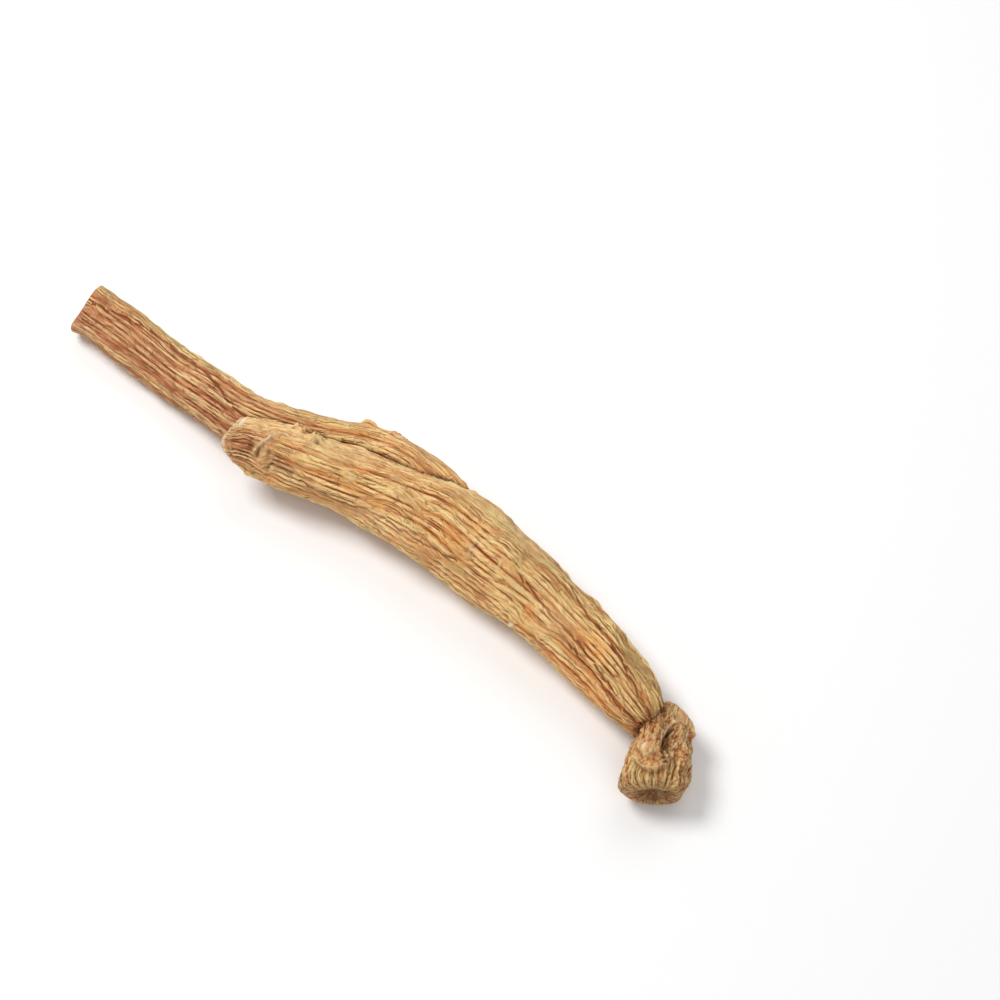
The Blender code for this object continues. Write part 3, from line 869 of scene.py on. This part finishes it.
def store(mesh, name, values):
    """Keep one number, or a row of three, on each point of the mesh."""
    if values.ndim == 2:
        mesh.attributes.new(name, "FLOAT_VECTOR", "POINT").data.foreach_set("vector", values.ravel())
    else:
        mesh.attributes.new(name, "FLOAT", "POINT").data.foreach_set("value", values)


def give_tints(root, parts):
    """Give each point of the joined skin the tints of the nearest point of its strand."""
    nearest, gaps = nearest_points(root, parts)
    # seam is near one at the creases between strands, where the skin is pressed in and painted shade is
    # laid.
    store(root.data, "seam", np.exp(-((gaps / SEAM_WIDTH) ** 2)))
    for name in parts[0][1]:
        values = [tints[name].reshape(-1, *tints[name].shape[2:]) for _, tints in parts]
        store(root.data, name, np.concatenate(values)[nearest])


def point_rows(mesh, kind):
    """The places or normals of the mesh's points, one row each."""
    values = np.empty(len(mesh.vertices) * 3)
    mesh.vertices.foreach_get(kind, values)
    return values.reshape(-1, 3)


def sink_seams(root):
    """Press the skin in along the creases between strands."""
    seam = np.empty(len(root.data.vertices))
    root.data.attributes["seam"].data.foreach_get("value", seam)
    points = point_rows(root.data, "co") - SEAM_DEPTH * seam[:, None] * point_rows(root.data, "normal")
    root.data.vertices.foreach_set("co", points.ravel())


def settle(root):
    """Press the low spots flat on the surface, move over the origin and scale to metres."""
    points = point_rows(root.data, "co")
    points[:, 2] = np.maximum(points[:, 2], 0.0)
    points[:, :2] -= BOX_MIDDLE
    root.data.vertices.foreach_set("co", (points * MM).ravel())
    root.data.update()


def linear(red, green, blue):
    """A screen colour from 0 to 255 as the linear colour that a shader takes."""
    def channel(value):
        value /= 255.0
        return value / 12.92 if value <= 0.04045 else ((value + 0.055) / 1.055) ** 2.4

    return (channel(red), channel(green), channel(blue), 1.0)


class Shades:
    """A short way to add and link the nodes of one material."""

    def __init__(self, name):
        self.material = bpy.data.materials.new(name)
        self.material.use_nodes = True
        self.nodes = self.material.node_tree.nodes
        self.links = self.material.node_tree.links
        self.surface = self.nodes["Principled BSDF"]

    def put(self, socket, value):
        """Link a socket to another node's output, or set it to a value."""
        if isinstance(value, bpy.types.NodeSocket):
            self.links.new(value, socket)
        else:
            socket.default_value = value

    def tint(self, name):
        """A value stored on the points of the mesh."""
        node = self.nodes.new("ShaderNodeAttribute")
        node.attribute_name = name
        return node.outputs["Fac"]

    def place(self, scale, shift=(0.0, 0.0, 0.0)):
        """The grain's own coordinates in mm, scaled along, across and above."""
        node = self.nodes.new("ShaderNodeAttribute")
        node.attribute_name = "grain"
        mapping = self.nodes.new("ShaderNodeMapping")
        mapping.inputs["Scale"].default_value = scale
        mapping.inputs["Location"].default_value = shift
        self.links.new(node.outputs["Vector"], mapping.inputs["Vector"])
        return mapping.outputs["Vector"]

    def noise(self, vector, scale, detail=4.0, rough=0.55, warp=0.0):
        """Soft random patches from nothing to one."""
        node = self.nodes.new("ShaderNodeTexNoise")
        self.put(node.inputs["Vector"], vector)
        node.inputs["Scale"].default_value = scale
        node.inputs["Detail"].default_value = detail
        node.inputs["Roughness"].default_value = rough
        node.inputs["Distortion"].default_value = warp
        return node.outputs["Fac"]

    def bend(self, vector, scale, reach):
        """The same coordinates, moved about by soft random patches."""
        node = self.nodes.new("ShaderNodeTexNoise")
        self.put(node.inputs["Vector"], vector)
        node.inputs["Scale"].default_value = scale
        node.inputs["Detail"].default_value = 2.0
        shift = self.nodes.new("ShaderNodeVectorMath")
        shift.operation = "MULTIPLY_ADD"
        self.put(shift.inputs[0], node.outputs["Color"])
        shift.inputs[1].default_value = (reach, reach, reach)
        self.put(shift.inputs[2], vector)
        return shift.outputs["Vector"]

    def cells(self, vector, scale):
        """How far a point is from the nearest border of its random cell."""
        node = self.nodes.new("ShaderNodeTexVoronoi")
        node.feature = "DISTANCE_TO_EDGE"
        self.put(node.inputs["Vector"], vector)
        node.inputs["Scale"].default_value = scale
        return node.outputs["Distance"]

    def span(self, value, low, high, to_low=0.0, to_high=1.0):
        """Stretch the part of a value between low and high over another range."""
        node = self.nodes.new("ShaderNodeMapRange")
        node.interpolation_type = "SMOOTHSTEP"
        self.put(node.inputs["Value"], value)
        node.inputs["From Min"].default_value = low
        node.inputs["From Max"].default_value = high
        node.inputs["To Min"].default_value = to_low
        node.inputs["To Max"].default_value = to_high
        return node.outputs["Result"]

    def combine(self, operation, first, second):
        """Two values multiplied or subtracted, kept between nothing and one."""
        node = self.nodes.new("ShaderNodeMath")
        node.operation = operation
        node.use_clamp = True
        self.put(node.inputs[0], first)
        self.put(node.inputs[1], second)
        return node.outputs["Value"]

    def mix(self, share, first, second):
        """The second colour over the first."""
        node = self.nodes.new("ShaderNodeMix")
        node.data_type = "RGBA"
        self.put(node.inputs["Factor"], share)
        self.put(node.inputs["A"], first)
        self.put(node.inputs["B"], second)
        return node.outputs["Result"]

    def relief(self, height, distance, normal=None):
        """A fine relief of the surface, up to a distance in metres."""
        node = self.nodes.new("ShaderNodeBump")
        node.inputs["Distance"].default_value = distance
        self.put(node.inputs["Height"], height)
        if normal:
            self.put(node.inputs["Normal"], normal)
        return node.outputs["Normal"]


def crack_lines(shades, cracks, patterns):
    """Thin broken cracks that run along the skin."""
    lines = shades.span(cracks, 0.0, 0.12, 1.0, 0.0)
    return shades.combine("MULTIPLY", lines, shades.span(patterns["breaks"], 0.42, 0.58))


def cross_ticks(shades, patterns):
    """Short sparse ticks across the skin."""
    ticks = shades.span(patterns["ticks"], 0.62, 0.7)
    return shades.combine("MULTIPLY", ticks, shades.span(patterns["sparse"], 0.5, 0.62))


def skin_base(shades, patterns):
    """Tan skin, and redder, more orange or more olive where it is tinted."""
    streaks = shades.span(patterns["strokes"], 0.35, 0.68)
    glow = shades.span(patterns["glow"], 0.48, 0.66, 0.0, 0.5)
    skin = shades.mix(streaks, linear(224, 160, 90), linear(255, 216, 148))
    skin = shades.mix(glow, skin, linear(238, 208, 130))
    skin = shades.mix(shades.span(patterns["patches"], 0.47, 0.62), skin, linear(240, 172, 96))
    red = shades.mix(streaks, linear(184, 112, 72), linear(230, 170, 120))
    olive = shades.mix(streaks, linear(182, 146, 82), linear(230, 198, 128))
    skin = shades.mix(shades.tint("red"), skin, red)
    skin = shades.mix(shades.tint("orange"), skin, linear(232, 142, 68))
    return shades.mix(shades.tint("olive"), skin, olive)


def skin_streaks(shades, patterns, skin):
    """The skin with its streaks over it, among them painted highlights on ridge tops and raised scratches,
    and painted shade in the valleys.
    """
    for name, low, high, to_low, to_high, colour in STREAKS:
        share = shades.span(patterns[name], low, high, to_low, to_high)
        skin = shades.mix(share, skin, linear(*colour))
    return skin


def skin_creases(shades, patterns, lines, crossing, skin):
    """The skin with dark cracks, ticks and furrows, and painted shade in the creases between strands."""
    skin = shades.mix(shades.combine("MULTIPLY", lines, 0.6), skin, linear(138, 68, 32))
    skin = shades.mix(shades.combine("MULTIPLY", crossing, 0.7), skin, linear(150, 74, 40))
    uneven = shades.span(patterns["strokes"], 0.2, 0.6, 0.8, 1.3)
    furrow = shades.combine("MULTIPLY", shades.tint("furrow"), uneven)
    skin = shades.mix(shades.span(furrow, 0.35, 0.85, 0.0, 0.9), skin, linear(134, 62, 26))
    # Painted shade in the creases between strands, taken off where the skin is tinted orange.
    bare = shades.combine("MULTIPLY", shades.tint("orange"), 0.9)
    painted_crease_shade = shades.combine("SUBTRACT", shades.tint("seam"), bare)
    return shades.mix(shades.span(painted_crease_shade, 0.2, 0.95, 0.0, 0.85), skin, linear(88, 44, 20))


def skin_marks(shades, patterns, skin):
    """The skin paler where tinted, gritty where rough, and with dark and white marks, partly painted shade
    and highlights.
    """
    uneven = shades.span(patterns["specks"], 0.3, 0.55, 0.5, 1.0)
    # The pale tint: paler skin, and painted highlights along the lip, the ear's edge, the crown's ridge
    # and specks.
    skin = shades.mix(shades.combine("MULTIPLY", shades.tint("pale"), uneven), skin, linear(250, 216, 160))
    rough = shades.tint("rough")
    hollows = shades.combine("MULTIPLY", rough, shades.span(patterns["grit"], 0.32, 0.46, 0.75, 0.0))
    skin = shades.mix(hollows, skin, linear(126, 66, 34))
    grains = shades.combine("MULTIPLY", rough, shades.span(patterns["grit"], 0.5, 0.62, 0.0, 0.85))
    skin = shades.mix(grains, skin, linear(255, 210, 138))
    # The dark tint: the skin's own dark marks, and painted shade in pits, holes, creases, the stem's
    # hollow and under the lip.
    skin = shades.mix(shades.tint("dark"), skin, linear(70, 36, 18))
    # The white tint: white marks, and painted highlights on the scar's cord, the crown's ridge and specks.
    return shades.mix(shades.tint("white"), skin, linear(250, 236, 212))


def skin_relief(shades, patterns, cracks, crossing):
    """The finest relief of the skin."""
    relief = shades.relief(patterns["fibres"], 0.00014, shades.relief(patterns["specks"], 0.00016))
    relief = shades.relief(shades.span(patterns["scratches"], 0.34, 0.66), 0.00016, relief)
    relief = shades.relief(shades.span(cracks, 0.0, 0.2), 0.00012, relief)
    relief = shades.relief(crossing, 0.0001, relief)
    gritty = shades.combine("MULTIPLY", shades.tint("rough"), patterns["grit"])
    return shades.relief(gritty, 0.0006, relief)


def skin_material():
    """Dry root skin: tan ridges, dark reddish furrows, redder at the tips, olive and pale in places, with
    painted highlights and shade.
    """
    shades = Shades("root_skin_dry")
    patterns = {
        name: shades.noise(shades.place(stretch, shift), *look)
        for name, (stretch, shift, *look) in PATTERNS.items()
    }
    patterns["crest"] = shades.tint("crest")
    cracks = shades.cells(shades.bend(shades.place((0.12, 1.0, 1.0)), 0.7, 0.45), 0.95)
    lines = crack_lines(shades, cracks, patterns)
    crossing = cross_ticks(shades, patterns)
    skin = skin_streaks(shades, patterns, skin_base(shades, patterns))
    skin = skin_creases(shades, patterns, lines, crossing, skin)
    skin = skin_marks(shades, patterns, skin)
    shades.put(shades.surface.inputs["Base Color"], skin)
    shades.put(shades.surface.inputs["Roughness"], shades.span(patterns["fibres"], 0.3, 0.7, 0.62, 0.8))
    shades.surface.inputs["Specular IOR Level"].default_value = 0.25
    shades.put(shades.surface.inputs["Normal"], skin_relief(shades, patterns, cracks, crossing))
    return shades.material


def make_root():
    """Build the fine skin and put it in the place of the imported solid."""
    parts = [body_strand(), leg_strand(), crown_strand()]
    strands = [strand_object(f"strand_{index}", points) for index, (points, _) in enumerate(parts)]
    root = join(strands)
    give_tints(root, parts)
    sink_seams(root)
    settle(root)
    root.name = "root_body"
    root.data.name = "root_body"
    root.data.shade_smooth()
    root.data.materials.clear()
    root.data.materials.append(skin_material())
    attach(root, "root")
    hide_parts(NODE)
    return root


def make_floor():
    """A plain pale floor."""
    data = bpy.data.meshes.new("floor")
    ends = (-FLOOR_REACH, FLOOR_REACH)
    corners = [(x, y, 0.0) for x in ends for y in ends]
    data.from_pydata(corners, [], [(0, 2, 3, 1)])
    floor = bpy.data.objects.new("floor", data)
    bpy.context.scene.collection.objects.link(floor)
    floor.location.z = -FLOOR_DROP
    shades = Shades("floor_white")
    shades.surface.inputs["Base Color"].default_value = (0.97, 0.97, 0.97, 1.0)
    shades.surface.inputs["Roughness"].default_value = 0.9
    data.materials.append(shades.material)


def aim(item, place, target):
    """Put a light or the camera at a place, looking at the target."""
    item.location = place
    item.rotation_euler = (target - place).to_track_quat("-Z", "Y").to_euler()


def bearing(azimuth, elevation):
    """The direction out to an angle round the root and above the floor, in degrees."""
    turn, lift = math.radians(azimuth), math.radians(elevation)
    return Vector((math.sin(turn) * math.cos(lift), -math.cos(turn) * math.cos(lift), math.sin(lift)))


def make_camera():
    """The photograph's view."""
    data = bpy.data.cameras.new("camera")
    data.lens = CAMERA_LENS
    data.sensor_width = CAMERA_SENSOR
    data.clip_start = 0.01
    camera = bpy.data.objects.new("camera", data)
    bpy.context.scene.collection.objects.link(camera)
    out = bearing(CAMERA_AZIMUTH, CAMERA_ELEVATION) * CAMERA_DISTANCE
    aim(camera, CAMERA_AIM + out, CAMERA_AIM)
    bpy.context.scene.camera = camera


def soft_light(name, azimuth, elevation, distance, size, power):
    """A large soft lamp that faces the root."""
    data = bpy.data.lights.new(name, "AREA")
    data.shape = "DISK"
    data.size = size
    data.energy = power
    lamp = bpy.data.objects.new(name, data)
    bpy.context.scene.collection.objects.link(lamp)
    aim(lamp, bearing(azimuth, elevation) * distance, Vector((0.0, 0.0, 0.0)))


def make_lights():
    """Plain soft studio light, strongest from the left, with a pale surround."""
    for lamp in LAMPS:
        soft_light(*lamp)
    world = bpy.data.worlds.new("studio")
    bpy.context.scene.world = world
    world.use_nodes = True
    backdrop = world.node_tree.nodes["Background"]
    backdrop.inputs["Color"].default_value = (1.0, 1.0, 1.0, 1.0)
    backdrop.inputs["Strength"].default_value = SURROUND


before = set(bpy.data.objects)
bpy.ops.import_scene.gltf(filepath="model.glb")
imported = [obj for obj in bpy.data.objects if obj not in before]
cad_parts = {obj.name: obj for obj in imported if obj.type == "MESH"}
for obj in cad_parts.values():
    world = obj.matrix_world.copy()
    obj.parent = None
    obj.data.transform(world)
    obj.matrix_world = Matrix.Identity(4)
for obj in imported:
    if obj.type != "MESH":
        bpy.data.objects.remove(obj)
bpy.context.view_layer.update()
bpy.context.scene.view_settings.view_transform = "Standard"
make_camera()
make_lights()
make_floor()
make_root()
